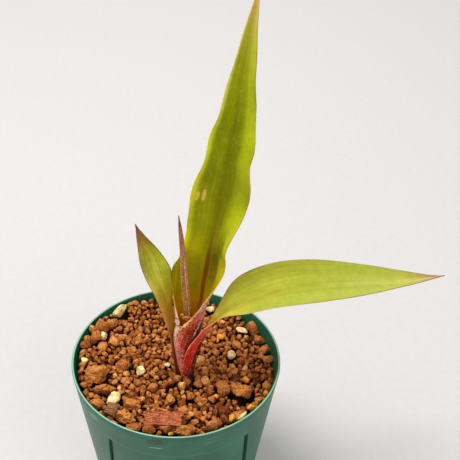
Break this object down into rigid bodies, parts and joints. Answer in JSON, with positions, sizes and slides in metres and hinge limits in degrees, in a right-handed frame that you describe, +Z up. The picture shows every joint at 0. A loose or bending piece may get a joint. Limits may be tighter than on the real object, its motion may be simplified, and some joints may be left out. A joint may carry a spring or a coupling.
{
  "type": "potted pitcairnia sanguinea",
  "caption": "Young bromeliad with a tall rolled-base leaf, an arching side leaf and a rolled spear, in a tapered round nursery pot of granular soil.",
  "frame": {"origin": "centre of the pot's flat underside, on the surface that it stands on", "axes": "+Z up along the pot's axis, -Y towards the front that the picture shows, +X to the right, where the side leaf points"},
  "size_m": [0.1299, 0.075, 0.1966],
  "materials": {
    "pot_plastic": "satin",
    "soil_grain": "matte",
    "pumice_stone": "matte",
    "amber_grain": "matte",
    "red_bark": "matte",
    "brown_bark": "matte",
    "tall_leaf": "satin",
    "right_leaf": "satin",
    "left_leaf": "satin",
    "spear_leaf": "matte",
    "crown_stem": "matte"
  },
  "bodies": {
    "root": {"pot": "pot_plastic", "soil_bed": "soil_grain", "crumbs": "soil_grain", "bark_chip": "red_bark", "bark_chunk": "brown_bark", "pumice_1": "pumice_stone", "pumice_2": "pumice_stone", "pumice_3": "pumice_stone", "pumice_4": "pumice_stone", "pumice_5": "pumice_stone", "pumice_6": "pumice_stone", "pumice_7": "pumice_stone", "pumice_8": "pumice_stone", "pumice_9": "pumice_stone", "pumice_10": "pumice_stone", "amber_1": "amber_grain", "amber_2": "amber_grain", "amber_3": "amber_grain", "amber_4": "amber_grain", "amber_5": "amber_grain", "amber_6": "amber_grain", "crown": "crown_stem", "leaf_tall": "tall_leaf", "leaf_right": "right_leaf", "leaf_left": "left_leaf", "leaf_spear": "spear_leaf"}
  },
  "joints": []
}
